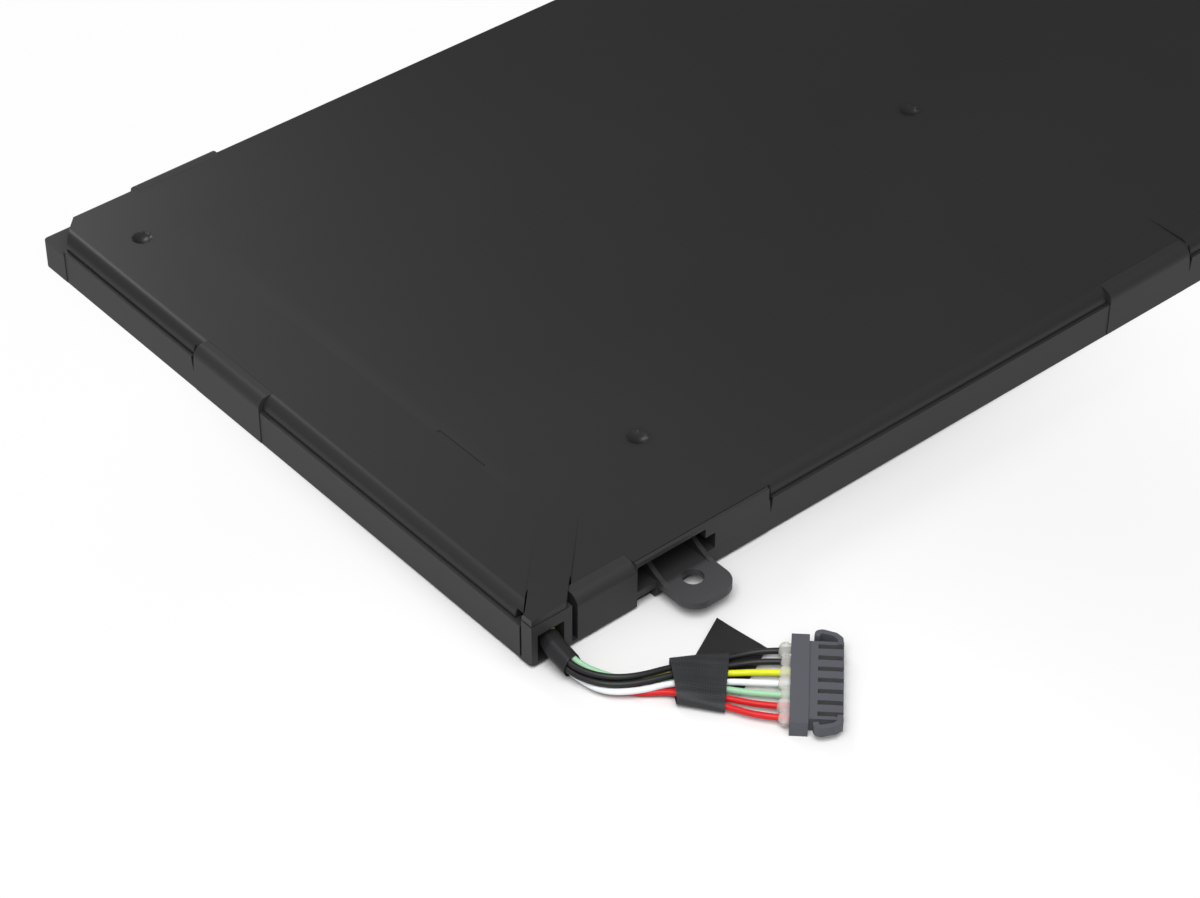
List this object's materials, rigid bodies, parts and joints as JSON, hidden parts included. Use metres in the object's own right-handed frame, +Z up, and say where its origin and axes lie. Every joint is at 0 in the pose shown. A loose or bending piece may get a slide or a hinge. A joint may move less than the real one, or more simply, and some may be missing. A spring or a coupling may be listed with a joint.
{
  "type": "laptop battery",
  "caption": "Slim black battery pack for a laptop: a flat moulded case with screw tabs, flat cells and a control board inside, and a short bundle of coloured wires ending in a plug.",
  "frame": {"origin": "on the underside, at the middle of the case and its screw tabs, the lead left out", "axes": "+X along the long edge, -Y out of the front wall with the tabs and the lead, +Z up through the cover"},
  "size_m": [0.226, 0.1435, 0.0081],
  "materials": {
    "case_plastic": "satin moulded black",
    "cover_plastic": "fine matt moulded black",
    "cell_pouch": "satin laminated foil",
    "adhesive_pad": "white double-sided adhesive",
    "positive_tab": "plain rolled strip",
    "plated_metal": "nickel plated",
    "board_laminate": "green solder mask",
    "chip_body": "matt moulded",
    "fuse_body": "plain ceramic",
    "capacitor_body": "plain ceramic",
    "insulating_film": "amber film",
    "solder": "bright solder",
    "wire_black": "smooth extruded",
    "wire_yellow": "smooth extruded",
    "wire_white": "smooth extruded",
    "wire_green": "smooth extruded",
    "wire_red": "smooth extruded",
    "sleeve_tape": "smooth wrapped tape",
    "cloth_tape": "woven black tape",
    "connector_plastic": "matt moulded dark grey",
    "contact_metal": "tin-plated brass",
    "clear_glue": "clear cured glue"
  },
  "bodies": {
    "root": {"board_insulator": "insulating_film", "cable_sleeve": "sleeve_tape", "capacitors": "capacitor_body", "cell_1": "cell_pouch", "cell_1_negative_tab": "plated_metal", "cell_1_pad": "adhesive_pad", "cell_1_positive_tab": "positive_tab", "cell_2": "cell_pouch", "cell_2_negative_tab": "plated_metal", "cell_2_pad": "adhesive_pad", "cell_2_positive_tab": "positive_tab", "cell_3": "cell_pouch", "cell_3_negative_tab": "plated_metal", "cell_3_pad": "adhesive_pad", "cell_3_positive_tab": "positive_tab", "connector_contacts": "contact_metal", "connector_glue": "clear_glue", "connector_housing": "connector_plastic", "fuse": "fuse_body", "gauge_chip": "chip_body", "lower_case": "case_plastic", "power_transistors": "chip_body", "protection_board": "board_laminate", "sense_resistor": "chip_body", "solder_joints": "solder", "tape_band": "cloth_tape", "top_cover": "cover_plastic", "weld_plates": "plated_metal", "wire_black_1": "wire_black", "wire_black_2": "wire_black", "wire_green": "wire_green", "wire_red_1": "wire_red", "wire_red_2": "wire_red", "wire_white": "wire_white", "wire_yellow": "wire_yellow"}
  },
  "joints": []
}
